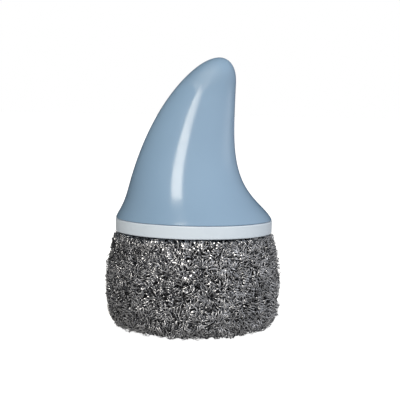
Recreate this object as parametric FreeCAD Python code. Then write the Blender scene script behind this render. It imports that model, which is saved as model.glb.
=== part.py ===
import FreeCAD, Part
import math
import os

from FreeCAD import Vector

# Pot scrubber: a hollow fin-shaped handle, a screw-on collar and a drum of stainless wire.
# The origin is at the middle of the wire's foot, +Z is up and the fin leans towards +X.
# All lengths are in millimetres.

# Fin handle
rim_radius = 35.0            # round foot of the handle, and the collar flush below it
fin_height = 71.9            # from the rim to the tip
wall_thickness = 2.4
tip_thickness = 6.0          # solid plastic above the hollow
joint_gap = 0.1              # fine line between the rim and the collar
# Each pair is a share of rim_radius across and a share of fin_height up
lead_shares = (
    (-1.0, 0.0), (-0.956, 0.046), (-0.906, 0.096), (-0.829, 0.22), (-0.637, 0.495),
    (-0.291, 0.79), (-0.057, 0.915), (0.126, 0.978), (0.291, 1.0),
)
trail_shares = (
    (1.0, 0.0), (0.831, 0.097), (0.634, 0.22), (0.52, 0.395), (0.494, 0.598),
    (0.5, 0.807), (0.471, 0.937), (0.403, 0.981), (0.291, 1.0),
)
flank_shares = (
    (1.0, 0.0), (0.82, 0.097), (0.615, 0.22), (0.44, 0.395), (0.338, 0.595),
    (0.275, 0.793), (0.237, 0.9), (0.165, 0.96), (0.0, 1.0),
)
lead_lean_share = 0.25       # how far the wall leans in for each step up, at the rim
trail_lean_share = 0.5
flank_lean_share = 0.85
outer_station_count = 24
inner_station_count = 14

# Seat inside the foot of the handle
rim_wall = 5.2               # from the outside of the rim to the plate's seat
ledge_thickness = 1.6
seal_thickness = 0.8
seal_width = 6.0
seal_clearance = 0.3         # round a boss that reaches the seal

# Base plate with its threaded socket and key post
plate_recess = 0.6           # the plate lies this far above the rim
plate_thickness = 2.6
plate_clearance = 0.2
socket_radius = 15.0
socket_wall = 2.0
socket_depth = 8.0
socket_roof = 2.0
key_flats = 5.0              # across the flats of the hexagonal post
key_clearance = 0.2
key_end_gap = 0.4

# Screws that hold the plate
screw_count = 3
screw_radius = 1.25
screw_length = 7.0
head_radius = 2.2
head_height = 1.5
head_clearance = 0.2
head_rounding = 0.5
cross_width = 0.6
cross_length = 2.6
cross_depth = 0.7
hole_clearance = 0.2
pilot_clearance = 0.03
pilot_extra = 0.4
boss_wall = 1.15             # plastic round the pilot hole
boss_roof = 1.6
boss_gap = 0.5               # between a boss and the socket
boss_overlap = 0.8           # how far a boss runs into the ledge
gusset_thickness = 1.4

# Coarse single-start thread
thread_pitch = 3.0
ridge_height = 1.0
ridge_root_width = 1.4
ridge_crest_width = 0.7
ridge_sink = 0.3             # root of a ridge inside its wall
crest_clearance = 0.4
flank_clearance = 0.25
thread_land = 0.2            # plain wall beyond each end of a ridge

# Collar
collar_height = 5.6
band_wall = 2.4
web_thickness = 2.2
spigot_wall = 2.0
spigot_end_gap = 0.6
lip_width = 1.6
lip_thickness = 2.0
collar_rounding = 0.5
rib_count = 6
rib_thickness = 1.4
rib_drop = 1.0               # ribs stop this far below the top of the band

# Anchor plate and the split ring that keeps it in the collar
anchor_thickness = 2.2
running_gap = 0.2            # anchor plate to the lip below and the ring above
anchor_clearance = 0.3
hub_wall = 1.2
hub_height = 5.6
ring_thickness = 1.0
ring_width = 1.8
ring_split = 4.0
groove_depth = 0.7
ring_fit = 0.1

# Staples that hold the wire on the anchor plate
staple_count = 3
staple_wire_radius = 0.6
staple_spacing = 5.0         # between the two legs
staple_depth = 12.0          # below the collar
staple_cover = 0.4           # wire mass outside a leg in the neck
staple_clearance = 0.1
staple_bend_radius = 0.75
clinch_length = 1.9

# Wire drum
pad_height = 44.0            # floor to the underside of the collar
pad_swell = 3.2              # how far the packed wire swells out beyond the rim
pad_bulge_height = 18.5      # where the drum is widest
pad_corner_height = 10.6
foot_inset = 10.2            # from the widest part in to the flat foot
pad_top_inset = 0.2          # the wire tucks in under the collar
soft_gap = 0.3

overrun = 1.0                # how far a cut runs past the face that it opens

# Levels, from the floor up
pad_top = pad_height - soft_gap
lip_top = pad_height + lip_thickness
web_top = pad_height + web_thickness
anchor_bottom = lip_top + running_gap
anchor_top = anchor_bottom + anchor_thickness
ring_bottom = anchor_top + running_gap
hub_top = anchor_top + hub_height
band_top = pad_height + collar_height
rim_level = band_top + joint_gap
plate_bottom = rim_level + plate_recess
plate_top = plate_bottom + plate_thickness
ledge_bottom = plate_top + seal_thickness
ledge_top = ledge_bottom + ledge_thickness
socket_ceiling = plate_bottom + socket_depth
socket_top = socket_ceiling + socket_roof
spigot_top = socket_ceiling - spigot_end_gap
key_tip = anchor_top + key_end_gap
head_seat = plate_bottom + head_height
screw_tip = head_seat + screw_length
boss_top = screw_tip + pilot_extra + boss_roof

# Radii, from the thread outwards and then inwards
socket_outer_radius = socket_radius + socket_wall
boss_radius = screw_radius + boss_wall
screw_circle_radius = socket_outer_radius + boss_gap + boss_radius
boss_reach = screw_circle_radius + boss_radius
ledge_radius = boss_reach - boss_overlap
seat_radius = rim_radius - rim_wall
plate_radius = seat_radius - plate_clearance
spigot_radius = socket_radius - ridge_height - crest_clearance
spigot_bore = spigot_radius - spigot_wall
anchor_radius = spigot_bore - anchor_clearance
lip_radius = spigot_bore - lip_width
neck_radius = lip_radius - soft_gap
hole_flats = key_flats + 2 * key_clearance
hub_radius = hole_flats / 2 / math.cos(math.pi / 6) + hub_wall
leg_radius = neck_radius - staple_cover - staple_wire_radius
pad_radius = rim_radius + pad_swell
pad_foot_radius = pad_radius - foot_inset

# A ridge of the socket lies just below the ridge of the spigot that it carries
mid_width = (ridge_root_width + ridge_crest_width) / 2
ridge_taper = (ridge_root_width - ridge_crest_width) / ridge_height
engaged_width = mid_width - ridge_taper * crest_clearance / 2
socket_ridge_start = plate_bottom + thread_land + ridge_root_width / 2
socket_ridge_end = socket_ceiling - thread_land - ridge_root_width / 2
spigot_ridge_start = socket_ridge_start + engaged_width + flank_clearance
spigot_ridge_end = spigot_top - thread_land - ridge_root_width / 2

up = Vector(0, 0, 1)
axis_point = Vector(0, 0, 0)


def cylinder(radius, bottom, top, x=0, y=0):
    return Part.makeCylinder(radius, top - bottom, Vector(x, y, bottom))


def tube(outer, inner, bottom, top):
    return cylinder(outer, bottom, top).cut(cylinder(inner, bottom, top))


def turned(outline):
    # A closed outline of (radius, height) points, turned about the axis
    points = [Vector(radius, 0, height) for radius, height in outline]
    face = Part.Face(Part.makePolygon(points + points[:1]))
    return face.revolve(axis_point, up, 360)


def hexagon(flats, bottom, top):
    corner = flats / 2 / math.cos(math.pi / 6)
    points = []
    for index in range(6):
        angle = index * math.pi / 3
        points.append(Vector(corner * math.cos(angle), corner * math.sin(angle), bottom))
    face = Part.Face(Part.makePolygon(points + points[:1]))
    return face.extrude(Vector(0, 0, top - bottom))


def around_axis(shape, count, first_angle=0):
    copies = []
    for index in range(count):
        copy = shape.copy()
        copy.rotate(axis_point, up, first_angle + index * 360 / count)
        copies.append(copy)
    return copies


def radial_wall(thickness, inner, outer, bottom, top):
    corner = Vector(inner, -thickness / 2, bottom)
    return Part.makeBox(outer - inner, thickness, top - bottom, corner)


def edge_curve(shares, lean_share):
    # One edge of the fin, from the rim to the tip, level at the tip
    points = [Vector(across * rim_radius, 0, rise * fin_height) for across, rise in shares]
    inward = -math.copysign(1, points[0].x)
    curve = Part.BSplineCurve()
    curve.interpolate(
        Points=points,
        InitialTangent=Vector(inward * lean_share, 0, 1),
        FinalTangent=Vector(inward, 0, 0),
    )
    return curve


lead_edge = edge_curve(lead_shares, lead_lean_share)
trail_edge = edge_curve(trail_shares, trail_lean_share)
flank_edge = edge_curve(flank_shares, flank_lean_share)


def place_on(curve, height):
    low = curve.FirstParameter
    high = curve.LastParameter
    for _ in range(50):
        middle = (low + high) / 2
        if curve.value(middle).z < height:
            low = middle
        else:
            high = middle
    return curve.value(middle).x


def fin_section(height, inset):
    # Level section of the fin: an ellipse between its two edges, as thick as its flanks
    front = place_on(lead_edge, height) + inset
    back = place_on(trail_edge, height) - inset
    half_thickness = place_on(flank_edge, height) - inset
    half_length = (back - front) / 2
    centre = Vector((front + back) / 2, 0, rim_level + height)
    ellipse = Part.Ellipse(centre, max(half_length, half_thickness), half_thickness)
    return Part.Wire([ellipse.toShape()])


def station_heights(bottom, top, count):
    # Closest together at both ends, where the fin curves most
    heights = []
    for index in range(count + 1):
        share = (1 - math.cos(math.pi * index / count)) / 2
        heights.append(bottom + (top - bottom) * share)
    return heights


def fin_outside():
    heights = station_heights(0, fin_height, outer_station_count)[:-1]
    sections = [fin_section(height, 0) for height in heights]
    tip = Part.Vertex(lead_shares[-1][0] * rim_radius, 0, rim_level + fin_height)
    return Part.makeLoft(sections + [tip], True, False, False)


def fin_core(inset, bottom):
    # The fin drawn in by an inset, from a level near its foot to the solid tip
    heights = station_heights(bottom - rim_level, fin_height - tip_thickness, inner_station_count)
    sections = [fin_section(height, inset) for height in heights]
    return Part.makeLoft(sections, True, False, False)


def screw_bosses():
    # Each boss stands on the ledge, and its gusset ends inside the wall
    boss = cylinder(boss_radius, plate_top, boss_top, screw_circle_radius)
    gusset = radial_wall(gusset_thickness, screw_circle_radius, rim_radius, ledge_bottom, boss_top)
    wall_middle = fin_core(wall_thickness / 2, ledge_bottom)
    bosses = []
    for blade, column in zip(around_axis(gusset, screw_count, 180), around_axis(boss, screw_count, 180)):
        bosses.append(column.fuse(blade.common(wall_middle)))
    return bosses


def pilot_holes():
    radius = screw_radius + pilot_clearance
    hole = cylinder(radius, plate_top - overrun, screw_tip + pilot_extra, screw_circle_radius)
    return around_axis(hole, screw_count, 180)


def fin_shell():
    shell = fin_outside().cut(fin_core(wall_thickness, ledge_top))
    shell = shell.cut(cylinder(seat_radius, rim_level - overrun, ledge_bottom))
    shell = shell.cut(cylinder(ledge_radius, ledge_bottom - overrun, ledge_top + overrun))
    for boss in screw_bosses():
        shell = shell.fuse(boss)
    for hole in pilot_holes():
        shell = shell.cut(hole)
    return shell


def base_seal():
    seal = tube(plate_radius, plate_radius - seal_width, plate_top, ledge_bottom)
    boss_hole = cylinder(boss_radius + seal_clearance, plate_top, ledge_bottom, screw_circle_radius)
    for hole in around_axis(boss_hole, screw_count, 180):
        seal = seal.cut(hole)
    return seal


def thread_ridge(wall_radius, crest_radius, start, end):
    # Ridge along a right-hand helix, rooted in its wall and facing the crest radius
    facing = math.copysign(1, crest_radius - wall_radius)
    sunk_radius = wall_radius - facing * ridge_sink
    half_sunk = (ridge_root_width + ridge_taper * ridge_sink) / 2
    half_crest = ridge_crest_width / 2
    outline = (
        (sunk_radius, -half_sunk), (crest_radius, -half_crest),
        (crest_radius, half_crest), (sunk_radius, half_sunk),
    )
    points = [Vector(radius, 0, height) for radius, height in outline]
    profile = Part.makePolygon(points + points[:1])
    helix = Part.makeHelix(thread_pitch, end - start, wall_radius)
    ridge = Part.Wire(helix.Edges).makePipeShell([profile], True, True)
    ridge.translate(Vector(0, 0, start))
    return ridge


def plate_screw_holes():
    shank_hole = cylinder(
        screw_radius + hole_clearance, plate_bottom - overrun, plate_top + overrun, screw_circle_radius)
    head_hole = cylinder(
        head_radius + head_clearance, plate_bottom - overrun, head_seat, screw_circle_radius)
    return around_axis(shank_hole.fuse(head_hole), screw_count, 180)


def base_plate():
    plate = turned((
        (socket_radius, plate_bottom), (plate_radius, plate_bottom), (plate_radius, plate_top),
        (socket_outer_radius, plate_top), (socket_outer_radius, socket_top), (0, socket_top),
        (0, socket_ceiling), (socket_radius, socket_ceiling),
    ))
    plate = plate.fuse(hexagon(key_flats, key_tip, socket_ceiling + socket_roof / 2))
    crest_radius = socket_radius - ridge_height
    plate = plate.fuse(thread_ridge(socket_radius, crest_radius, socket_ridge_start, socket_ridge_end))
    for hole in plate_screw_holes():
        plate = plate.cut(hole)
    return plate


def plate_screw():
    head = cylinder(head_radius, plate_bottom, head_seat, screw_circle_radius)
    lower_edges = [edge for edge in head.Edges if edge.BoundBox.ZMax < head_seat and edge.Closed]
    head = head.makeFillet(min(head_rounding, head_height / 2), lower_edges)
    shank = cylinder(screw_radius, head_seat, screw_tip, screw_circle_radius)
    screw = head.fuse(shank)
    for length, width in ((cross_length, cross_width), (cross_width, cross_length)):
        corner = Vector(screw_circle_radius - length / 2, -width / 2, plate_bottom - overrun)
        screw = screw.cut(Part.makeBox(length, width, cross_depth + overrun, corner))
    return screw.removeSplitter()


def base_plate_screws():
    return Part.makeCompound(around_axis(plate_screw(), screw_count, 180))


def rounded_band(collar):
    # Takes the sharpness off the two outer edges of the visible band
    outer_edges = []
    for edge in collar.Edges:
        is_outer = abs(edge.BoundBox.XMax - rim_radius) < joint_gap / 2
        if is_outer and edge.Closed and edge.BoundBox.ZLength < joint_gap:
            outer_edges.append(edge)
    return collar.makeFillet(min(collar_rounding, band_wall / 3, collar_height / 3), outer_edges)


def collar_ring():
    band_radius = rim_radius - band_wall
    collar = rounded_band(turned((
        (lip_radius, pad_height), (rim_radius, pad_height), (rim_radius, band_top),
        (band_radius, band_top), (band_radius, web_top), (spigot_radius, web_top),
        (spigot_radius, spigot_top), (spigot_bore, spigot_top), (spigot_bore, lip_top),
        (lip_radius, lip_top),
    )))
    rib_inner = spigot_radius - spigot_wall / 2
    rib_outer = band_radius + band_wall / 2
    rib = radial_wall(rib_thickness, rib_inner, rib_outer, web_top - web_thickness / 2, band_top - rib_drop)
    for copy in around_axis(rib, rib_count):
        collar = collar.fuse(copy)
    crest_radius = spigot_radius + ridge_height
    collar = collar.fuse(thread_ridge(spigot_radius, crest_radius, spigot_ridge_start, spigot_ridge_end))
    groove = cylinder(spigot_bore + groove_depth, ring_bottom - ring_fit, ring_bottom + ring_thickness + ring_fit)
    return collar.cut(groove)


def retaining_ring():
    outer = spigot_bore + groove_depth - ring_fit
    ring_top = ring_bottom + ring_thickness
    ring = tube(outer, outer - ring_width, ring_bottom, ring_top)
    return ring.cut(radial_wall(ring_split, 0, outer + overrun, ring_bottom, ring_top))


def staple_directions():
    # Middle direction of each staple, and the distance of its legs to either side
    mid_radius = math.sqrt(leg_radius ** 2 - (staple_spacing / 2) ** 2)
    return mid_radius, staple_spacing / 2


def bent_wire(points, bend_radius, wire_radius):
    # Round wire along straight runs joined by tangent arcs
    edges = []
    start = points[0]
    for before, corner, after in zip(points, points[1:], points[2:]):
        incoming = (corner - before).normalize()
        outgoing = (after - corner).normalize()
        half_turn = incoming.getAngle(outgoing) / 2
        setback = bend_radius * math.tan(half_turn)
        arc_start = corner - incoming * setback
        arc_end = corner + outgoing * setback
        to_centre = (outgoing - incoming).normalize()
        arc_middle = corner + to_centre * (bend_radius / math.cos(half_turn) - bend_radius)
        edges.append(Part.LineSegment(start, arc_start).toShape())
        edges.append(Part.Arc(arc_start, arc_middle, arc_end).toShape())
        start = arc_end
    edges.append(Part.LineSegment(start, points[-1]).toShape())
    path = Part.Wire(edges)
    circle = Part.Circle(points[0], points[1] - points[0], wire_radius)
    return path.makePipeShell([Part.Wire([circle.toShape()])], True, False)


def staple(wire_radius):
    # From one clinched tip, down a leg, across the crown and up to the other tip
    mid_radius, side = staple_directions()
    crown = pad_height - staple_depth
    clinch = anchor_top + staple_wire_radius
    tip = side - clinch_length
    outline = ((-tip, clinch), (-side, clinch), (-side, crown), (side, crown), (side, clinch), (tip, clinch))
    points = [Vector(mid_radius, across, height) for across, height in outline]
    return bent_wire(points, staple_bend_radius, wire_radius)


def anchor_staples():
    return Part.makeCompound(around_axis(staple(staple_wire_radius), staple_count, 90))


def staple_holes():
    mid_radius, side = staple_directions()
    radius = staple_wire_radius + staple_clearance
    holes = []
    for across in (-side, side):
        hole = cylinder(radius, anchor_bottom - overrun, anchor_top + overrun, mid_radius, across)
        holes += around_axis(hole, staple_count, 90)
    return holes


def anchor_plate():
    plate = cylinder(anchor_radius, anchor_bottom, anchor_top)
    plate = plate.fuse(cylinder(hub_radius, anchor_top - anchor_thickness / 2, hub_top))
    plate = plate.cut(hexagon(hole_flats, anchor_top, hub_top + overrun))
    for hole in staple_holes():
        plate = plate.cut(hole)
    return plate.removeSplitter()


def pad_side_radius(height):
    # The side of the drum is one arc, widest at the bulge
    rise = pad_top - pad_bulge_height
    draw_in = pad_radius - (rim_radius - pad_top_inset)
    arc_radius = (rise ** 2 + draw_in ** 2) / (2 * draw_in)
    offset = height - pad_bulge_height
    return pad_radius - arc_radius + math.sqrt(arc_radius ** 2 - offset ** 2)


def scourer_pad():
    corner_radius = pad_side_radius(pad_corner_height)
    corner_width = corner_radius - pad_foot_radius
    eighth = math.sqrt(0.5)
    foot = Vector(pad_foot_radius, 0, 0)
    corner_middle = Vector(pad_foot_radius + corner_width * eighth, 0, pad_corner_height * (1 - eighth))
    corner = Vector(corner_radius, 0, pad_corner_height)
    bulge = Vector(pad_radius, 0, pad_bulge_height)
    shoulder = Vector(pad_side_radius(pad_top), 0, pad_top)
    edges = [
        Part.LineSegment(axis_point, foot).toShape(),
        Part.Arc(foot, corner_middle, corner).toShape(),
        Part.Arc(corner, bulge, shoulder).toShape(),
        Part.LineSegment(shoulder, Vector(0, 0, pad_top)).toShape(),
        Part.LineSegment(Vector(0, 0, pad_top), axis_point).toShape(),
    ]
    pad = Part.Face(Part.Wire(edges)).revolve(axis_point, up, 360)
    pad = pad.fuse(cylinder(neck_radius, pad_top - overrun, anchor_bottom))
    for tunnel in around_axis(staple(staple_wire_radius + staple_clearance), staple_count, 90):
        pad = pad.cut(tunnel)
    return pad.removeSplitter()


pieces = {
    "fin_shell": fin_shell,
    "base_plate": base_plate,
    "base_seal": base_seal,
    "base_plate_screws": base_plate_screws,
    "collar_ring": collar_ring,
    "retaining_ring": retaining_ring,
    "anchor_plate": anchor_plate,
    "anchor_staples": anchor_staples,
    "scourer_pad": scourer_pad,
}

os.makedirs("parts", exist_ok=True)
for name, make in pieces.items():
    shape = make()
    shape.exportStep(f"parts/{name}.step")
    print(f"{name}: {len(shape.Solids)} solid, {shape.Volume / 1000:.2f} ml, valid {shape.isValid()}")
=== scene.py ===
import math
import random

import bmesh
import bpy
import numpy as np
from mathutils import Matrix, Vector, noise


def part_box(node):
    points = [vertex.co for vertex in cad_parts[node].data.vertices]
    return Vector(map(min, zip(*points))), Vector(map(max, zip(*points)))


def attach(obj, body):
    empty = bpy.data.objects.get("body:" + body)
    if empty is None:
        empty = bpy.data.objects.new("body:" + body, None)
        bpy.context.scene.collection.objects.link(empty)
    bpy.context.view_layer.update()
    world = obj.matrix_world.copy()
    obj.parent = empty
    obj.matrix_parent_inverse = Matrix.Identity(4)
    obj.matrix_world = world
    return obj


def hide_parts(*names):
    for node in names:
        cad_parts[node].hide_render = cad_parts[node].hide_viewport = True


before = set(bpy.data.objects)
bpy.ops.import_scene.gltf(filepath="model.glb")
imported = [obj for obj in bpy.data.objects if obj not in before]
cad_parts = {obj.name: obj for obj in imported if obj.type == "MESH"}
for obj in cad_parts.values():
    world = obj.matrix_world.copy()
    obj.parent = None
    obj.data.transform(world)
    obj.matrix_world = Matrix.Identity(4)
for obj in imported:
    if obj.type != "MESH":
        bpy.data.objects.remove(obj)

# Pot scrubber: a gloss blue fin handle, a white collar and a drum of curled stainless ribbon.
# Metres throughout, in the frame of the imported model.

mm = 0.001
noiseLow, noiseHigh = 0.3, 0.7        # between these lie most values of a noise pattern
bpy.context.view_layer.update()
scene = bpy.context.scene


def linear(hexColour):
    channels = [int(hexColour[i:i + 2], 16) / 255 for i in (1, 3, 5)]
    return [c / 12.92 if c <= 0.04045 else ((c + 0.055) / 1.055) ** 2.4 for c in channels] + [1.0]


def addNode(tree, kind, settings=None, inputs=None):
    node = tree.nodes.new(kind)
    for name, value in (settings or {}).items():
        setattr(node, name, value)
    for key, value in (inputs or {}).items():
        if isinstance(value, bpy.types.NodeSocket):
            tree.links.new(value, node.inputs[key])
        else:
            node.inputs[key].default_value = value
    return node


def newMaterial(name):
    material = bpy.data.materials.new(name)
    material.use_nodes = True
    material.node_tree.nodes.clear()
    return material, material.node_tree


def linkObject(name, mesh):
    piece = bpy.data.objects.new(name, mesh)
    scene.collection.objects.link(piece)
    return piece


def meshFromRings(name, rings, sharpAngle):
    # rings of equal length are joined in order; a ring of one point closes an end
    points, starts = [], []
    for ring in rings:
        starts.append(len(points))
        points += ring
    faces = []
    for i in range(len(rings) - 1):
        upper, lower = rings[i], rings[i + 1]
        count = max(len(upper), len(lower))
        for k in range(count):
            after = (k + 1) % count
            face = []
            if len(upper) > 1:
                face += [starts[i] + after, starts[i] + k]
            else:
                face += [starts[i]]
            if len(lower) > 1:
                face += [starts[i + 1] + k, starts[i + 1] + after]
            else:
                face += [starts[i + 1]]
            faces.append(face)
    mesh = bpy.data.meshes.new(name)
    mesh.from_pydata(points, [], faces)
    mesh.shade_smooth()
    mesh.set_sharp_from_angle(angle=math.radians(sharpAngle))
    return mesh


def dress(piece, material, body, slotName, *nodes):
    piece.data.materials.clear()
    piece.data.materials.append(material)
    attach(piece, body)
    if nodes:
        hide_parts(*nodes)


# Camera

cameraSettings = {
    "aim": (0, 0, 46.8 * mm),         # middle of the collar band
    "aimPixel": (193.84, 224.56),     # where that point lies in the 400 px frame
    "frame": 400,
    "distance": 500 * mm,
    "elevation": 6.02,
    "roll": 1.084,                    # the picture is tilted a little clockwise
    "lens": 100.1,
    "sensor": 36.0,
}


def makeCamera(s):
    data = bpy.data.cameras.new("camera")
    data.lens, data.sensor_width = s["lens"], s["sensor"]
    focal = s["lens"] / s["sensor"] * s["frame"]
    tilt = math.radians(s["elevation"])
    forward = Vector((0, math.cos(tilt), -math.sin(tilt)))
    level = Matrix((Vector((1, 0, 0)), Vector((0, math.sin(tilt), math.cos(tilt))), -forward)).transposed()
    across = (s["aimPixel"][0] - s["frame"] / 2) / focal
    down = (s["aimPixel"][1] - s["frame"] / 2) / focal
    toAim = Vector((across, -down, -1)).normalized()
    swing = toAim.rotation_difference(Vector((0, 0, -1))).to_matrix()
    turn = level @ Matrix.Rotation(math.radians(s["roll"]), 3, "Z") @ swing
    camera = bpy.data.objects.new("camera", data)
    camera.matrix_world = Matrix.Translation(Vector(s["aim"]) - forward * s["distance"]) @ turn.to_4x4()
    scene.collection.objects.link(camera)
    scene.camera = camera


makeCamera(cameraSettings)
print("camera set")


# Materials

handleFinish = {
    "colour": "#8eacca", "cloud": "#89a7c6", "ior": 1.54, "roughness": 0.12, "roughnessSpread": 0.05,
    "cloudSize": 24 * mm, "hazeSize": 7 * mm, "peelSize": 2.2 * mm, "peelHeight": 0.003 * mm,
    "rubbedFrom": 105 * mm, "rubbedTo": 112 * mm, "rubbedRoughness": 0.08,
    "scuffSize": 0.2 * mm, "scuffHeight": 0.14 * mm,
}


def makeHandlePlastic(s):
    # gloss ABS from a polished mould: crisp streaks of light, but a tip that the palm has rubbed dull
    material, tree = newMaterial("glossAbsBlue")
    place = addNode(tree, "ShaderNodeTexCoord").outputs["Object"]
    cloud = addNode(tree, "ShaderNodeTexNoise", inputs={"Vector": place, "Scale": 1 / s["cloudSize"], "Detail": 2.0})
    tone = addNode(tree, "ShaderNodeMix", {"data_type": "RGBA"},
                   {0: cloud.outputs[0], 6: linear(s["colour"]), 7: linear(s["cloud"])})
    haze = addNode(tree, "ShaderNodeTexNoise", inputs={"Vector": place, "Scale": 1 / s["hazeSize"], "Detail": 4.0})
    rough = addNode(tree, "ShaderNodeMapRange", inputs={
        0: haze.outputs[0], 1: noiseLow, 2: noiseHigh, 3: s["roughness"], 4: s["roughness"] + s["roughnessSpread"]})
    height = addNode(tree, "ShaderNodeSeparateXYZ", inputs={0: place}).outputs["Z"]
    rubbed = addNode(tree, "ShaderNodeMapRange", {"interpolation_type": "SMOOTHSTEP"}, {
        0: height, 1: s["rubbedFrom"], 2: s["rubbedTo"]})
    worn = addNode(tree, "ShaderNodeMath", {"operation": "MULTIPLY_ADD"},
                   {0: rubbed.outputs[0], 1: s["rubbedRoughness"], 2: rough.outputs[0]})
    peel = addNode(tree, "ShaderNodeTexNoise", inputs={"Vector": place, "Scale": 1 / s["peelSize"], "Detail": 1.0})
    bump = addNode(tree, "ShaderNodeBump", inputs={
        "Height": peel.outputs[0], "Distance": s["peelHeight"], "Strength": 1.0})
    scuff = addNode(tree, "ShaderNodeTexNoise", inputs={"Vector": place, "Scale": 1 / s["scuffSize"], "Detail": 1.0})
    scuffed = addNode(tree, "ShaderNodeBump", inputs={
        "Height": scuff.outputs[0], "Distance": s["scuffHeight"], "Strength": rubbed.outputs[0],
        "Normal": bump.outputs[0]})
    skin = addNode(tree, "ShaderNodeBsdfPrincipled", inputs={
        "Base Color": tone.outputs[2], "Roughness": worn.outputs[0], "IOR": s["ior"], "Normal": scuffed.outputs[0]})
    addNode(tree, "ShaderNodeOutputMaterial", inputs={"Surface": skin.outputs[0]})
    return material


collarFinish = {
    "colour": "#deebfa", "cloud": "#d7e5f4", "ior": 1.54, "roughness": 0.28, "roughnessSpread": 0.08,
    "cloudSize": 15 * mm, "grainSize": 0.9 * mm, "grainHeight": 0.004 * mm,
}


def makeCollarPlastic(s):
    # white ABS, moulded a little less glossy than the handle, so light lies on it in broad soft bands
    material, tree = newMaterial("whiteAbsSatin")
    place = addNode(tree, "ShaderNodeTexCoord").outputs["Object"]
    cloud = addNode(tree, "ShaderNodeTexNoise", inputs={"Vector": place, "Scale": 1 / s["cloudSize"], "Detail": 3.0})
    tone = addNode(tree, "ShaderNodeMix", {"data_type": "RGBA"},
                   {0: cloud.outputs[0], 6: linear(s["colour"]), 7: linear(s["cloud"])})
    rough = addNode(tree, "ShaderNodeMapRange", inputs={
        0: cloud.outputs[0], 1: noiseLow, 2: noiseHigh, 3: s["roughness"], 4: s["roughness"] + s["roughnessSpread"]})
    grain = addNode(tree, "ShaderNodeTexNoise", inputs={"Vector": place, "Scale": 1 / s["grainSize"], "Detail": 1.0})
    bump = addNode(tree, "ShaderNodeBump", inputs={
        "Height": grain.outputs[0], "Distance": s["grainHeight"], "Strength": 1.0})
    skin = addNode(tree, "ShaderNodeBsdfPrincipled", inputs={
        "Base Color": tone.outputs[2], "Roughness": rough.outputs[0], "IOR": s["ior"], "Normal": bump.outputs[0]})
    addNode(tree, "ShaderNodeOutputMaterial", inputs={"Surface": skin.outputs[0]})
    return material


ribbonFinish = {
    "bright": "#d7d9df", "dull": "#77797e", "roughness": 0.11, "roughnessSpread": 0.15,
    "toneSize": 5 * mm, "drawSize": 0.35 * mm,
    "strandWeight": 0.6, "dullUpTo": 0.35, "brightFrom": 1.15,      # strands differ in tone, and so do their parts
}


def makeRibbonSteel(s):
    # shaved stainless ribbon: bright where a turn faces the light, with dull drawn streaks between
    material, tree = newMaterial("stainlessRibbon")
    place = addNode(tree, "ShaderNodeTexCoord").outputs["Object"]
    strand = addNode(tree, "ShaderNodeAttribute", {"attribute_name": "strandTone"})
    tone = addNode(tree, "ShaderNodeTexNoise", inputs={"Vector": place, "Scale": 1 / s["toneSize"], "Detail": 3.0})
    mixed = addNode(tree, "ShaderNodeMath", {"operation": "MULTIPLY_ADD"},
                    {0: strand.outputs["Fac"], 1: s["strandWeight"], 2: tone.outputs[0]})
    share = addNode(tree, "ShaderNodeMapRange", inputs={
        0: mixed.outputs[0], 1: s["dullUpTo"], 2: s["brightFrom"]})
    colour = addNode(tree, "ShaderNodeMix", {"data_type": "RGBA"},
                     {0: share.outputs[0], 6: linear(s["dull"]), 7: linear(s["bright"])})
    drawn = addNode(tree, "ShaderNodeTexNoise", inputs={"Vector": place, "Scale": 1 / s["drawSize"], "Detail": 2.0})
    rough = addNode(tree, "ShaderNodeMapRange", inputs={
        0: drawn.outputs[0], 1: noiseLow, 2: noiseHigh, 3: s["roughness"], 4: s["roughness"] + s["roughnessSpread"]})
    skin = addNode(tree, "ShaderNodeBsdfPrincipled", inputs={
        "Base Color": colour.outputs[2], "Metallic": 1.0, "Roughness": rough.outputs[0]})
    addNode(tree, "ShaderNodeOutputMaterial", inputs={"Surface": skin.outputs[0]})
    return material


# dull is painted shade: the dark between the core's loops stands for the shadow deep among the curls
coreToneAndPaintedShade = {
    "bright": "#9c9c9f", "dull": "#444446", "roughness": 0.45, "curlSize": 2.4 * mm, "curlHeight": 1.2 * mm,
    "loopEdge": 0.02, "loopFades": 0.22,                            # shares of a curl's size
}


def makeCoreSteel(s):
    # the imported wire deep in the drum, of which little but dark gaps and dim loops reaches the eye; the dull
    # colour of the gaps is painted shade, standing for the deep shadow among the packed wire, and the brighter loops
    # are the wire's own tone
    material, tree = newMaterial("packedWirePaintedShade")
    place = addNode(tree, "ShaderNodeTexCoord").outputs["Object"]
    curls = addNode(tree, "ShaderNodeTexVoronoi", {"feature": "DISTANCE_TO_EDGE"},
                    {"Vector": place, "Scale": 1 / s["curlSize"]})
    share = addNode(tree, "ShaderNodeMapRange", inputs={
        0: curls.outputs[0], 1: s["loopEdge"], 2: s["loopFades"], 3: 1.0, 4: 0.0})
    # painted shade: away from the loop edges the core takes the dark dull colour, for the shadow between the wires
    colour = addNode(tree, "ShaderNodeMix", {"data_type": "RGBA"},
                     {0: share.outputs[0], 6: linear(s["dull"]), 7: linear(s["bright"])})
    bump = addNode(tree, "ShaderNodeBump", inputs={
        "Height": share.outputs[0], "Distance": s["curlHeight"], "Strength": 1.0})
    skin = addNode(tree, "ShaderNodeBsdfPrincipled", inputs={
        "Base Color": colour.outputs[2], "Metallic": 1.0, "Roughness": s["roughness"], "Normal": bump.outputs[0]})
    addNode(tree, "ShaderNodeOutputMaterial", inputs={"Surface": skin.outputs[0]})
    return material


plateFinish = {"colour": "#d3d8dc", "cloud": "#c8ced3", "ior": 1.54, "roughness": 0.42, "grainSize": 0.6 * mm,
               "grainHeight": 0.01 * mm}
sealFinish = {"colour": "#262626", "cloud": "#343331", "ior": 1.52, "roughness": 0.7, "grainSize": 0.8 * mm,
              "grainHeight": 0.02 * mm}


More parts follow.
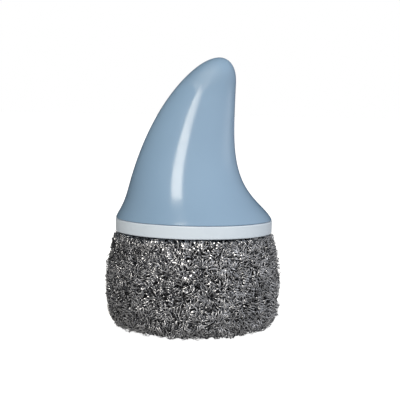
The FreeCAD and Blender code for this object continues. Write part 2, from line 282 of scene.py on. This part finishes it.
def makeMoulded(name, s):
    # spark-eroded mould texture: an even fine grain with no clear reflections
    material, tree = newMaterial(name)
    place = addNode(tree, "ShaderNodeTexCoord").outputs["Object"]
    grain = addNode(tree, "ShaderNodeTexNoise", inputs={"Vector": place, "Scale": 1 / s["grainSize"], "Detail": 3.0})
    tone = addNode(tree, "ShaderNodeMix", {"data_type": "RGBA"},
                   {0: grain.outputs[0], 6: linear(s["colour"]), 7: linear(s["cloud"])})
    bump = addNode(tree, "ShaderNodeBump", inputs={
        "Height": grain.outputs[0], "Distance": s["grainHeight"], "Strength": 1.0})
    skin = addNode(tree, "ShaderNodeBsdfPrincipled", inputs={
        "Base Color": tone.outputs[2], "Roughness": s["roughness"], "IOR": s["ior"], "Normal": bump.outputs[0]})
    addNode(tree, "ShaderNodeOutputMaterial", inputs={"Surface": skin.outputs[0]})
    return material


fastenerFinish = {"bright": "#c3c3c1", "dull": "#8e8e8d", "roughness": 0.3, "roughnessSpread": 0.15,
                  "drawSize": 0.5 * mm}


def makeFastenerSteel(s):
    # plain drawn stainless: even grey with fine dull streaks
    material, tree = newMaterial("stainlessDrawn")
    place = addNode(tree, "ShaderNodeTexCoord").outputs["Object"]
    drawn = addNode(tree, "ShaderNodeTexNoise", inputs={"Vector": place, "Scale": 1 / s["drawSize"], "Detail": 4.0})
    colour = addNode(tree, "ShaderNodeMix", {"data_type": "RGBA"},
                     {0: drawn.outputs[0], 6: linear(s["dull"]), 7: linear(s["bright"])})
    rough = addNode(tree, "ShaderNodeMapRange", inputs={
        0: drawn.outputs[0], 1: noiseLow, 2: noiseHigh, 3: s["roughness"], 4: s["roughness"] + s["roughnessSpread"]})
    skin = addNode(tree, "ShaderNodeBsdfPrincipled", inputs={
        "Base Color": colour.outputs[2], "Metallic": 1.0, "Roughness": rough.outputs[0]})
    addNode(tree, "ShaderNodeOutputMaterial", inputs={"Surface": skin.outputs[0]})
    return material


handlePlastic = makeHandlePlastic(handleFinish)
collarPlastic = makeCollarPlastic(collarFinish)
ribbonSteel = makeRibbonSteel(ribbonFinish)
coreSteel = makeCoreSteel(coreToneAndPaintedShade)
platePlastic = makeMoulded("satinAbsPlate", plateFinish)
sealRubber = makeMoulded("nitrileRubber", sealFinish)
fastenerSteel = makeFastenerSteel(fastenerFinish)
print("materials made")


# Fin handle

finLow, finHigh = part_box("fin_shell")
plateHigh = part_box("base_plate")[1]
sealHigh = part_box("base_seal")[1]
finSettings = {
    "rimRadius": finHigh.y,
    "height": finHigh.z - finLow.z,
    # across as a share of the rim's radius, up as a share of the height
    "lead": ((-1, 0), (-0.956, 0.046), (-0.906, 0.096), (-0.829, 0.22), (-0.637, 0.495), (-0.291, 0.79),
             (-0.057, 0.915), (0.126, 0.978), (0.291, 1)),
    "trail": ((1, 0), (0.831, 0.097), (0.634, 0.22), (0.52, 0.395), (0.494, 0.598), (0.5, 0.807),
              (0.471, 0.937), (0.403, 0.981), (0.291, 1)),
    "flank": ((1, 0), (0.82, 0.097), (0.615, 0.22), (0.44, 0.395), (0.338, 0.595), (0.275, 0.793),
              (0.237, 0.9), (0.165, 0.96), (0, 1)),
    "leadLean": 0.25,
    "trailLean": 0.5,
    "flankLean": 0.85,
    "rows": 110,
    "around": 176,
    "rimRows": 4,
    "innerRows": 24,
    "sharpAngle": 40,
    "rimRounding": 0.35 * mm,
    "wall": 2.4 * mm,
    "tipSolid": 6 * mm,
    "ledgeRadius": 21.5 * mm,
    "ledgeThickness": 1.6 * mm,
}


def splineThrough(points, firstWay, lastWay, count=2400):
    # smooth curve through the points, leaving and arriving in the given directions
    places = np.array(points, float)
    steps = np.linalg.norm(np.diff(places, axis=0), axis=1)
    system = np.zeros((len(places), len(places)))
    wanted = np.zeros_like(places)
    system[0, 0] = system[-1, -1] = 1
    wanted[0] = np.array(firstWay) / np.linalg.norm(firstWay)
    wanted[-1] = np.array(lastWay) / np.linalg.norm(lastWay)
    for i in range(1, len(places) - 1):
        before, after = steps[i - 1], steps[i]
        system[i, i - 1:i + 2] = 1 / before, 2 / before + 2 / after, 1 / after
        wanted[i] = 3 * ((places[i] - places[i - 1]) / before ** 2 + (places[i + 1] - places[i]) / after ** 2)
    ways = np.linalg.solve(system, wanted)
    distance = np.concatenate(([0], np.cumsum(steps)))
    line = []
    for d in np.linspace(0, distance[-1], count):
        i = min(np.searchsorted(distance, d, side="right") - 1, len(steps) - 1)
        t = (d - distance[i]) / steps[i]
        line.append((2 * t ** 3 - 3 * t ** 2 + 1) * places[i] + (t ** 3 - 2 * t ** 2 + t) * steps[i] * ways[i]
                    + (3 * t ** 2 - 2 * t ** 3) * places[i + 1] + (t ** 3 - t ** 2) * steps[i] * ways[i + 1])
    return np.array(line)


def makeFin(s):
    def edge(shares, lean):
        inward = -math.copysign(1, shares[0][0])
        points = [(x * s["rimRadius"], z * s["height"]) for x, z in shares]
        return splineThrough(points, (inward * lean, 1), (inward, 0))

    lead, trail, flank = (edge(s[name], s[name + "Lean"]) for name in ("lead", "trail", "flank"))
    angles = [2 * math.pi * k / s["around"] for k in range(s["around"])]

    def section(height, inset, level=None):
        front = np.interp(height, lead[:, 1], lead[:, 0]) + inset
        back = np.interp(height, trail[:, 1], trail[:, 0]) - inset
        half = np.interp(height, flank[:, 1], flank[:, 0]) - inset
        middle, reach = (front + back) / 2, (back - front) / 2
        z = finLow.z + (height if level is None else level)
        return [(middle + reach * math.cos(a), half * math.sin(a), z) for a in angles]

    def circle(radius, z):
        return [(radius * math.cos(a), radius * math.sin(a), z) for a in angles]

    rounding = s["rimRounding"]
    tip = s["lead"][-1][0] * s["rimRadius"]
    rings = [[(tip, 0, finHigh.z)]]
    for k in range(1, s["rows"]):
        share = (1 + math.cos(math.pi * k / s["rows"])) / 2
        height = share * s["height"]
        if height > rounding:
            rings.append(section(height, 0))
    for k in range(s["rimRows"] + 1):                   # softened lower edge of the rim
        a = math.pi / 2 * k / s["rimRows"]
        rings.append(section(rounding, rounding * (1 - math.cos(a)), rounding * (1 - math.sin(a))))
    rings.append(circle(plateHigh.x, finLow.z))         # the plate's seat, then the ledge that the seal lies on
    rings.append(circle(plateHigh.x, sealHigh.z))
    rings.append(circle(s["ledgeRadius"], sealHigh.z))
    ledgeTop = sealHigh.z + s["ledgeThickness"]
    rings.append(circle(s["ledgeRadius"], ledgeTop))
    low, high = ledgeTop - finLow.z, s["height"] - s["tipSolid"]
    for k in range(s["innerRows"] + 1):                 # the hollow inside, up to the solid tip
        share = (1 - math.cos(math.pi * k / s["innerRows"])) / 2
        rings.append(section(low + (high - low) * share, s["wall"]))
    rings.append([(sum(p[0] for p in rings[-1]) / s["around"], 0, finLow.z + high)])
    return linkObject("finHandle", meshFromRings("finHandle", rings, s["sharpAngle"]))


finHandle = makeFin(finSettings)
dress(finHandle, handlePlastic, "handle", "handle_plastic", "fin_shell")
print("fin handle made")


# Collar, from the CAD solid so that its thread and ribs stay, with its edges shaded as moulded

collarLow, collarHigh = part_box("collar_ring")
collarSettings = {
    "sharpAngle": 35,
    "mergeWithin": 0.002 * mm,
    "height": 5.6 * mm,
    "rounding": 0.5 * mm,
}


def makeCollar(s):
    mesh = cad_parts["collar_ring"].data.copy()
    mesh.name = "collarBand"
    shape = bmesh.new()
    shape.from_mesh(mesh)
    bmesh.ops.remove_doubles(shape, verts=shape.verts, dist=s["mergeWithin"])
    shape.to_mesh(mesh)
    shape.free()
    mesh.shade_smooth()
    mesh.set_sharp_from_angle(angle=math.radians(s["sharpAngle"]))

    # the band's outside and its rounded edges are shaded by their true curves, free of the mesh's slivers
    inner = collarHigh.x - s["rounding"]
    low, high = collarLow.z + s["rounding"], collarLow.z + s["height"] - s["rounding"]
    ways = []
    for corner, shown in zip(mesh.loops, mesh.corner_normals):
        place = mesh.vertices[corner.vertex_index].co
        radius = math.hypot(place.x, place.y)
        middle = Vector((place.x / radius * inner, place.y / radius * inner, min(max(place.z, low), high)))
        onBand = radius > inner - s["mergeWithin"]
        ways.append((place - middle).normalized() if onBand else shown.vector.copy())
    mesh.normals_split_custom_set(ways)
    return linkObject("collarBand", mesh)


collarBand = makeCollar(collarSettings)
dress(collarBand, collarPlastic, "collar", "collar_plastic", "collar_ring")
print("collar made")


# Wire drum: long strands of curled ribbon that wander over the drum, in layers, on packed wire

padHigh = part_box("scourer_pad")[1]
drumSettings = {
    "radius": 39 * mm,
    "top": 43.7 * mm,
    "topRadius": 35.1 * mm,
    "bulge": 18.5 * mm,
    "corner": 10.6 * mm,
    "foot": 28 * mm,
    "reachIn": 24 * mm,               # how far the strands run in under the collar
    "neckRadius": 9.7 * mm,
    "footPoints": 40,
    "cornerPoints": 24,
    "sidePoints": 40,
    "topPoints": 14,
}


def drumProfile(s):
    # the drum's outline from the middle of its foot to under the collar, as radius and height
    rise, drawIn = s["top"] - s["bulge"], s["radius"] - s["topRadius"]
    arc = (rise ** 2 + drawIn ** 2) / (2 * drawIn)

    def side(z):
        return s["radius"] - arc + math.sqrt(arc ** 2 - (z - s["bulge"]) ** 2)

    width = side(s["corner"]) - s["foot"]
    line = [(s["foot"] * k / s["footPoints"], 0) for k in range(s["footPoints"])]
    for k in range(s["cornerPoints"]):
        a = math.pi / 2 * k / s["cornerPoints"]
        line.append((s["foot"] + width * math.sin(a), s["corner"] * (1 - math.cos(a))))
    for k in range(s["sidePoints"] + 1):
        z = s["corner"] + (s["top"] - s["corner"]) * k / s["sidePoints"]
        line.append((side(z), z))
    for k in range(1, s["topPoints"] + 1):
        line.append((s["topRadius"] - (s["topRadius"] - s["reachIn"]) * k / s["topPoints"], s["top"]))
    return np.array(line)


profile = drumProfile(drumSettings)
profileRun = np.concatenate(([0], np.cumsum(np.linalg.norm(np.diff(profile, axis=0), axis=1))))
tangents = np.gradient(profile, profileRun, axis=0)
outward = np.stack((tangents[:, 1], -tangents[:, 0]), axis=1)
outward /= np.linalg.norm(outward, axis=1)[:, None]


def onDrum(run, angle, depth):
    # a point at a distance along the profile, an angle round the axis and a depth below the surface
    r, z = (np.interp(run, profileRun, profile[:, i]) for i in (0, 1))
    away, lift = (np.interp(run, profileRun, outward[:, i]) for i in (0, 1))
    r, z = r - away * depth, z - lift * depth
    return r * math.cos(angle), r * math.sin(angle), z


strandSettings = {
    "seed": 7,
    "step": 2.5 * mm,
    "stepCount": 26,
    "bend": 0.62,                     # how much a strand may turn at each step
    "choices": 9,                     # ways on that are compared at each step, and the one with most room is taken
    "startChoices": 24,
    "startNearest": 0.02,             # keeps the starts off the middle of the foot
    "endRoom": 2 * mm,                # from the ends of the profile
    "tightest": 3 * mm,               # radius below which a strand turns no faster round the axis
    "sinkStep": 0.35,                 # how fast a strand sinks and rises from step to step
    "sinkPhases": 100,
    "shallowest": 1.4 * mm,
    "lowest": 3.2 * mm,               # keeps the turns at the foot from being pressed out along the floor
    # depth of the curls' middle below the surface, its spread, how far strands keep apart, and their number
    "layers": ((3.4 * mm, 0.8 * mm, 1.6 * mm, 110), (2.1 * mm, 0.8 * mm, 1.4 * mm, 230)),
}
# turns that have sprung straight and lie over the rest
looseSettings = dict(strandSettings, seed=11, stepCount=11, bend=0.35, choices=3, shallowest=0.5 * mm,
                     layers=((1.0 * mm, 0.5 * mm, 5 * mm, 48),))


def layStrands(s):
    chance = random.Random(s["seed"])
    firstRun, lastRun = s["endRoom"], profileRun[-1] - s["endRoom"]
    strands = []
    for depth, spread, apart, count in s["layers"]:
        taken = np.empty((0, 3))
        for _ in range(count):
            starts = []
            for _ in range(s["startChoices"]):
                run = profileRun[-1] * math.sqrt(chance.uniform(s["startNearest"], 1))
                angle = chance.uniform(0, 2 * math.pi)
                place = np.array(onDrum(run, angle, depth))
                room = np.min(np.linalg.norm(taken - place, axis=1)) if len(taken) else 1
                starts.append((room, run, angle))
            _, run, angle = max(starts)
            heading = chance.uniform(0, 2 * math.pi)
            phase = chance.uniform(0, s["sinkPhases"])
            strand = []
            for step in range(s["stepCount"]):
                offset = spread * noise.noise(Vector((phase, step * s["sinkStep"], 0))) * 2
                strand.append(onDrum(run, angle, max(depth + offset, s["shallowest"])))
                best = None
                for _ in range(s["choices"]):
                    turned = heading + chance.gauss(0, s["bend"])
                    nextRun = run + s["step"] * math.cos(turned)
                    radius = max(np.interp(run, profileRun, profile[:, 0]), s["tightest"])
                    nextAngle = angle + s["step"] * math.sin(turned) / radius
                    if not firstRun < nextRun < lastRun:
                        turned, room = math.pi - turned, -1
                    else:
                        place = np.array(onDrum(nextRun, nextAngle, depth))
                        room = min(np.min(np.linalg.norm(taken - place, axis=1)), apart) if len(taken) else apart
                    if best is None or room > best[0]:
                        best = (room, turned, nextRun, nextAngle)
                heading, run, angle = best[1:]
                run = min(max(run, firstRun), lastRun)
            strands.append(strand)
            taken = np.concatenate((taken, np.array(strand)))
    return [[(x, y, max(z, s["lowest"])) for x, y, z in strand] for strand in strands]


strands = layStrands(strandSettings)
looseStrands = layStrands(looseSettings)
print("strands laid:", len(strands), "and loose:", len(looseStrands))

curlSettings = {
    "Curl Radius": 1.75 * mm,
    "Pitch": 1.45 * mm,
    "Step": 0.13 * mm,                # along the strand, so about eleven steps to a turn
    "Ribbon Width": 0.42 * mm,
    "Ribbon Thickness": 0.09 * mm,
    "Stretch": 4.0,                   # radians by which turns crowd and open along a strand
    "Stretch Length": 14 * mm,
    "Tangle": 3.6 * mm,
    "Tangle Size": 3.2 * mm,
    "Lowest": 0.32 * mm,              # the turns lie flat on the floor and under the collar
    "Highest": 43.6 * mm,
    "Flat Faces": 0,                  # 1 for crisp edges, so that whole turns flash, and 0 for worn round ones
    "Seed": 3,
}
looseCurlSettings = dict(curlSettings, **{
    "Curl Radius": 0.4 * mm, "Pitch": 6.5 * mm, "Ribbon Width": 0.38 * mm, "Stretch": 1.0, "Tangle": 2.2 * mm,
    "Tangle Size": 5.5 * mm, "Step": 0.3 * mm})


def makeCurlTree(s):
    tree = bpy.data.node_groups.new("curledRibbon", "GeometryNodeTree")
    tree.interface.new_socket("Geometry", in_out="INPUT", socket_type="NodeSocketGeometry")
    for name, value in s.items():
        kind = "NodeSocketInt" if isinstance(value, int) else "NodeSocketFloat"
        tree.interface.new_socket(name, in_out="INPUT", socket_type=kind)
    tree.interface.new_socket("Ribbon Material", in_out="INPUT", socket_type="NodeSocketMaterial")
    tree.interface.new_socket("Geometry", in_out="OUTPUT", socket_type="NodeSocketGeometry")
    given = addNode(tree, "NodeGroupInput").outputs
    phaseSpan = 6.283                                   # about a whole turn
    swellNoise, swellShares = (0.25, 0.75), (0.72, 1.2)  # a curl's radius as shares of the one given

    line = addNode(tree, "GeometryNodeMeshToCurve", inputs={0: given["Geometry"]})
    soft = addNode(tree, "GeometryNodeCurveSplineType", {"spline_type": "CATMULL_ROM"}, {0: line.outputs[0]})
    fine = addNode(tree, "GeometryNodeResampleCurve", {"mode": "LENGTH"},
                   {"Curve": soft.outputs[0], "Length": given["Step"]})

    # turn of the ribbon round its strand, opened and crowded in waves
    run = addNode(tree, "GeometryNodeSplineParameter").outputs["Length"]
    which = addNode(tree, "GeometryNodeCurveOfPoint").outputs["Curve Index"]
    phase = addNode(tree, "FunctionNodeRandomValue", {"data_type": "FLOAT"},
                    {2: 0.0, 3: phaseSpan, "ID": which, "Seed": given["Seed"]})
    turns = addNode(tree, "ShaderNodeMath", {"operation": "DIVIDE"}, {0: run, 1: given["Pitch"]})
    angle = addNode(tree, "ShaderNodeMath", {"operation": "MULTIPLY_ADD"},
                    {0: turns.outputs[0], 1: 2 * math.pi, 2: phase.outputs[1]})
    wave = addNode(tree, "ShaderNodeMath", {"operation": "DIVIDE"}, {0: run, 1: given["Stretch Length"]})
    waveAngle = addNode(tree, "ShaderNodeMath", {"operation": "MULTIPLY_ADD"},
                        {0: wave.outputs[0], 1: 2 * math.pi, 2: phase.outputs[1]})
    swing = addNode(tree, "ShaderNodeMath", {"operation": "SINE"}, {0: waveAngle.outputs[0]})
    wound = addNode(tree, "ShaderNodeMath", {"operation": "MULTIPLY_ADD"},
                    {0: swing.outputs[0], 1: given["Stretch"], 2: angle.outputs[0]})
    cosine = addNode(tree, "ShaderNodeMath", {"operation": "COSINE"}, {0: wound.outputs[0]})
    sine = addNode(tree, "ShaderNodeMath", {"operation": "SINE"}, {0: wound.outputs[0]})

    # direction from the strand out to the ribbon
    normal = addNode(tree, "GeometryNodeInputNormal").outputs[0]
    along = addNode(tree, "GeometryNodeInputTangent").outputs[0]
    side = addNode(tree, "ShaderNodeVectorMath", {"operation": "CROSS_PRODUCT"}, {0: along, 1: normal})
    partOne = addNode(tree, "ShaderNodeVectorMath", {"operation": "SCALE"}, {0: normal, "Scale": cosine.outputs[0]})
    partTwo = addNode(tree, "ShaderNodeVectorMath", {"operation": "SCALE"},
                      {0: side.outputs[0], "Scale": sine.outputs[0]})
    out = addNode(tree, "ShaderNodeVectorMath", {"operation": "ADD"},
                  {0: partOne.outputs[0], 1: partTwo.outputs[0]})
    kept = addNode(tree, "GeometryNodeStoreNamedAttribute", {"data_type": "FLOAT_VECTOR", "domain": "POINT"},
                   {"Geometry": fine.outputs[0], "Name": "outWay", "Value": out.outputs[0]})
    toneValue = addNode(tree, "FunctionNodeRandomValue", {"data_type": "FLOAT"},
                        {2: 0.0, 3: 1.0, "ID": which, "Seed": given["Seed"]})
    toned = addNode(tree, "GeometryNodeStoreNamedAttribute", {"data_type": "FLOAT", "domain": "POINT"},
                    {"Geometry": kept.outputs[0], "Name": "strandTone", "Value": toneValue.outputs[1]})

    # wind the ribbon, its radius swelling and shrinking, then pull the turns about
    place = addNode(tree, "GeometryNodeInputPosition").outputs[0]
    fineScale = addNode(tree, "ShaderNodeMath", {"operation": "DIVIDE"}, {0: 1.0, 1: given["Tangle Size"]})
    swell = addNode(tree, "ShaderNodeTexNoise", inputs={
        "Vector": place, "Scale": fineScale.outputs[0], "Detail": 1.0})
    factor = addNode(tree, "ShaderNodeMapRange", inputs={
        0: swell.outputs[0], 1: swellNoise[0], 2: swellNoise[1], 3: swellShares[0], 4: swellShares[1]})
    radius = addNode(tree, "ShaderNodeMath", {"operation": "MULTIPLY"},
                     {0: factor.outputs[0], 1: given["Curl Radius"]})
    way = addNode(tree, "GeometryNodeInputNamedAttribute", {"data_type": "FLOAT_VECTOR"}, {"Name": "outWay"})
    offset = addNode(tree, "ShaderNodeVectorMath", {"operation": "SCALE"},
                     {0: way.outputs[0], "Scale": radius.outputs[0]})
    coil = addNode(tree, "GeometryNodeSetPosition", inputs={
        "Geometry": toned.outputs[0], "Offset": offset.outputs[0]})
    pull = addNode(tree, "ShaderNodeTexNoise", inputs={
        "Vector": place, "Scale": fineScale.outputs[0], "Detail": 1.0})
    centred = addNode(tree, "ShaderNodeVectorMath", {"operation": "SUBTRACT"},
                      {0: pull.outputs[1], 1: (0.5, 0.5, 0.5)})
    pulled = addNode(tree, "ShaderNodeVectorMath", {"operation": "SCALE"},
                     {0: centred.outputs[0], "Scale": given["Tangle"]})
    tangle = addNode(tree, "GeometryNodeSetPosition", inputs={
        "Geometry": coil.outputs[0], "Offset": pulled.outputs[0]})
    parts = addNode(tree, "ShaderNodeSeparateXYZ", inputs={0: place})
    level = addNode(tree, "ShaderNodeClamp", inputs={
        "Value": parts.outputs["Z"], "Min": given["Lowest"], "Max": given["Highest"]})
    pressed = addNode(tree, "ShaderNodeCombineXYZ", inputs={
        "X": parts.outputs["X"], "Y": parts.outputs["Y"], "Z": level.outputs[0]})
    held = addNode(tree, "GeometryNodeSetPosition", inputs={
        "Geometry": tangle.outputs[0], "Position": pressed.outputs[0]})

    # lay the ribbon's section along the curl
    flat = addNode(tree, "GeometryNodeSetCurveNormal", {"mode": "FREE"},
                   {"Curve": held.outputs[0], "Normal": way.outputs[0]})
    strip = addNode(tree, "GeometryNodeCurvePrimitiveQuadrilateral", inputs={
        "Width": given["Ribbon Thickness"], "Height": given["Ribbon Width"]})
    cornered = addNode(tree, "GeometryNodeCurveSplineType", {"spline_type": "BEZIER"}, {0: strip.outputs[0]})
    crisp = addNode(tree, "GeometryNodeCurveSetHandles", {"handle_type": "VECTOR"}, {0: cornered.outputs[0]})
    outline = addNode(tree, "GeometryNodeSwitch", {"input_type": "GEOMETRY"},
                      {0: given["Flat Faces"], 1: strip.outputs[0], 2: crisp.outputs[0]})
    ribbon = addNode(tree, "GeometryNodeCurveToMesh", inputs={
        "Curve": flat.outputs[0], "Profile Curve": outline.outputs[0], "Fill Caps": True})
    smooth = addNode(tree, "GeometryNodeSetShadeSmooth", inputs={"Geometry": ribbon.outputs[0]})
    whole = addNode(tree, "GeometryNodeRealizeInstances", inputs={0: smooth.outputs[0]})
    coated = addNode(tree, "GeometryNodeSetMaterial", inputs={
        "Geometry": whole.outputs[0], "Material": given["Ribbon Material"]})
    addNode(tree, "NodeGroupOutput", inputs={0: coated.outputs[0]})
    return tree


def makeCurls(name, group, tree, s):
    points, edges = [], []
    for strand in group:
        edges += [(len(points) + k, len(points) + k + 1) for k in range(len(strand) - 1)]
        points += strand
    guideMesh = bpy.data.meshes.new(name + "Guide")
    guideMesh.from_pydata(points, edges, [])
    guide = linkObject(name + "Guide", guideMesh)
    modifier = guide.modifiers.new("curl", "NODES")
    modifier.node_group = tree
    values = dict(s, **{"Ribbon Material": ribbonSteel})
    for item in tree.interface.items_tree:
        if item.in_out == "INPUT" and item.name in values:
            modifier[item.identifier] = values[item.name]
    shown = guide.evaluated_get(bpy.context.evaluated_depsgraph_get())
    mesh = bpy.data.meshes.new_from_object(shown)
    mesh.name = name
    guide.modifiers.clear()
    bpy.data.objects.remove(guide)
    return linkObject(name, mesh)


curlTree = makeCurlTree(curlSettings)
bundleSettings = {"size": 16, "flatEvery": 4, "firstFlat": 1}       # one bundle of strands in four has crisp edges
for number, first in enumerate(range(0, len(strands), bundleSettings["size"])):
    name = f"wireCurls{number + 1}"
    crispEdges = number % bundleSettings["flatEvery"] == bundleSettings["firstFlat"]
    own = dict(curlSettings, **{"Seed": first, "Flat Faces": int(crispEdges)})
    piece = makeCurls(name, strands[first:first + bundleSettings["size"]], curlTree, own)
    dress(piece, ribbonSteel, "scourer_head", "scourer_wire", "scourer_pad")
    print(name, "triangles:", sum(len(p.vertices) - 2 for p in piece.data.polygons))
looseWire = makeCurls("wireLoose", looseStrands, curlTree, looseCurlSettings)
dress(looseWire, ribbonSteel, "scourer_head", "scourer_wire", "scourer_pad")

coreSettings = {
    "depth": 2.9 * mm, "around": 180, "rows": 60, "lump": 0.8 * mm, "lumpSize": 3 * mm, "sharpAngle": 60,
    "topRoom": 2 * mm, "footRoom": 3 * mm,                          # from the ends of the drum's profile
    "neckCrown": 0.6,                                               # flat ring on the neck, as a share of its radius
}


def makeCore(s):
    # packed wire under the curls, lumpy, with the neck that runs up through the collar
    angles = [2 * math.pi * k / s["around"] for k in range(s["around"])]
    neck = drumSettings["neckRadius"]
    outline = [(neck * s["neckCrown"], padHigh.z), (neck, padHigh.z), (neck, drumSettings["top"] - s["depth"])]
    rings = [[(0, 0, padHigh.z)]]
    rings += [[(r * math.cos(a), r * math.sin(a), z) for a in angles] for r, z in outline]
    for run in np.linspace(profileRun[-1] - s["topRoom"], s["footRoom"], s["rows"]):
        ring = []
        for a in angles:
            place = Vector(onDrum(run, a, s["depth"]))
            lump = s["lump"] * noise.noise(place / s["lumpSize"])
            ring.append(onDrum(run, a, s["depth"] - lump))
        rings.append(ring)
    rings.append([(0, 0, s["depth"])])
    return linkObject("wireCore", meshFromRings("wireCore", rings, s["sharpAngle"]))


wireCore = makeCore(coreSettings)
dress(wireCore, coreSteel, "scourer_head", "scourer_wire", "scourer_pad")
print("wire drum made")


# Inner pieces keep their CAD shapes

innerFinishes = {
    "base_plate": platePlastic, "anchor_plate": platePlastic, "base_seal": sealRubber,
    "base_plate_screws": fastenerSteel, "retaining_ring": fastenerSteel, "anchor_staples": fastenerSteel,
}
for node, finish in innerFinishes.items():
    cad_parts[node].data.materials.clear()
    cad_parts[node].data.materials.append(finish)


# Floor, light and background

stageSettings = {
    "floorSize": 24.0, "floorColour": "#d4d4d4", "floorGlow": 1.0, "worldSeen": 1.0,
    "worldBright": 0.9, "worldFrom": -0.35, "worldColour": "#ffffff",
    # name, colour, azimuth from the camera (left is negative), elevation, distance, width, height, lean, power, and
    # the shares of its size over which the light fades out at its sides, its lower end and its upper end
    "lights": (
        ("stripSoftbox", "#fff7e8", -15.7, 41.2, 0.654, 0.165, 0.733, 17.5, 3.5, (0, 0.27, 0)),
        ("rightSoftbox", "#ffffff", 88, 8, 1.1, 1.2, 1.0, 0, 4.2, (0.5, 0.5, 0.5)),
    ),
    "lightAim": (0, 0, 70 * mm),
    "worldWay": (0.76, -0.63, 0.14),  # towards the brighter side of the room
}


def makeStage(s):
    material, tree = newMaterial("paleFloor")
    path = addNode(tree, "ShaderNodeLightPath")
    matt = addNode(tree, "ShaderNodeBsdfDiffuse", inputs={"Color": linear(s["floorColour"])})
    seen = addNode(tree, "ShaderNodeMath", {"operation": "MULTIPLY"},
                   {0: path.outputs["Is Camera Ray"], 1: s["floorGlow"]})
    glow = addNode(tree, "ShaderNodeEmission", inputs={"Strength": seen.outputs[0]})
    both = addNode(tree, "ShaderNodeAddShader", inputs={0: matt.outputs[0], 1: glow.outputs[0]})
    addNode(tree, "ShaderNodeOutputMaterial", inputs={"Surface": both.outputs[0]})
    half = s["floorSize"] / 2
    mesh = bpy.data.meshes.new("floor")
    mesh.from_pydata([(-half, -half, 0), (half, -half, 0), (half, half, 0), (-half, half, 0)], [], [(0, 1, 2, 3)])
    mesh.materials.append(material)
    linkObject("floor", mesh)

    world = bpy.data.worlds.new("studio")
    world.use_nodes = True
    world.node_tree.nodes.clear()
    tree = world.node_tree
    path = addNode(tree, "ShaderNodeLightPath")
    # the room is darker at the back on the left, which draws the handle's left edge
    way = addNode(tree, "ShaderNodeTexCoord").outputs["Generated"]
    across = addNode(tree, "ShaderNodeVectorMath", {"operation": "DOT_PRODUCT"}, {0: way, 1: s["worldWay"]})
    room = addNode(tree, "ShaderNodeMapRange", inputs={
        0: across.outputs["Value"], 1: s["worldFrom"], 2: 1.0, 3: 0.0, 4: s["worldBright"]})
    strength = addNode(tree, "ShaderNodeMapRange", inputs={
        0: path.outputs["Is Camera Ray"], 3: room.outputs[0], 4: s["worldSeen"]})
    sky = addNode(tree, "ShaderNodeBackground", inputs={
        "Color": linear(s["worldColour"]), "Strength": strength.outputs[0]})
    addNode(tree, "ShaderNodeOutputWorld", inputs={"Surface": sky.outputs[0]})
    scene.world = world

    for name, colour, azimuth, elevation, distance, width, height, lean, power, fade in s["lights"]:
        data = bpy.data.lights.new(name, "AREA")
        data.color = linear(colour)[:3]
        data.shape, data.size, data.size_y, data.energy = "RECTANGLE", width, height, power
        data.use_nodes = True
        tree = data.node_tree
        tree.nodes.clear()
        place = addNode(tree, "ShaderNodeNewGeometry").outputs["Parametric"]
        parts = addNode(tree, "ShaderNodeSeparateXYZ", inputs={0: place})
        side = addNode(tree, "ShaderNodeMath", {"operation": "PINGPONG"}, {0: parts.outputs["X"], 1: 0.5})
        fromTop = addNode(tree, "ShaderNodeMath", {"operation": "SUBTRACT"}, {0: 1.0, 1: parts.outputs["Y"]})
        shine = addNode(tree, "ShaderNodeEmission", inputs={"Strength": 1.0})
        for inward, share in zip((side.outputs[0], parts.outputs["Y"], fromTop.outputs[0]), fade):
            if share:
                ramp = addNode(tree, "ShaderNodeMapRange", {"interpolation_type": "SMOOTHSTEP"},
                               {0: inward, 1: 0.0, 2: share})
                before = shine.inputs["Strength"]
                level = addNode(tree, "ShaderNodeMath", {"operation": "MULTIPLY"}, {
                    0: ramp.outputs[0], 1: before.links[0].from_socket if before.is_linked else 1.0})
                tree.links.new(level.outputs[0], before)
        addNode(tree, "ShaderNodeOutputLight", inputs={"Surface": shine.outputs[0]})
        a, e = math.radians(azimuth), math.radians(elevation)
        way = Vector((math.sin(a) * math.cos(e), -math.cos(a) * math.cos(e), math.sin(e)))
        lamp = bpy.data.objects.new(name, data)
        turn = (-way).to_track_quat("-Z", "Y").to_matrix().to_4x4() @ Matrix.Rotation(math.radians(lean), 4, "Z")
        lamp.matrix_world = Matrix.Translation(Vector(s["lightAim"]) + way * distance) @ turn
        lamp.visible_camera = False
        scene.collection.objects.link(lamp)
    scene.view_settings.view_transform = "Standard"


makeStage(stageSettings)
print("stage set")
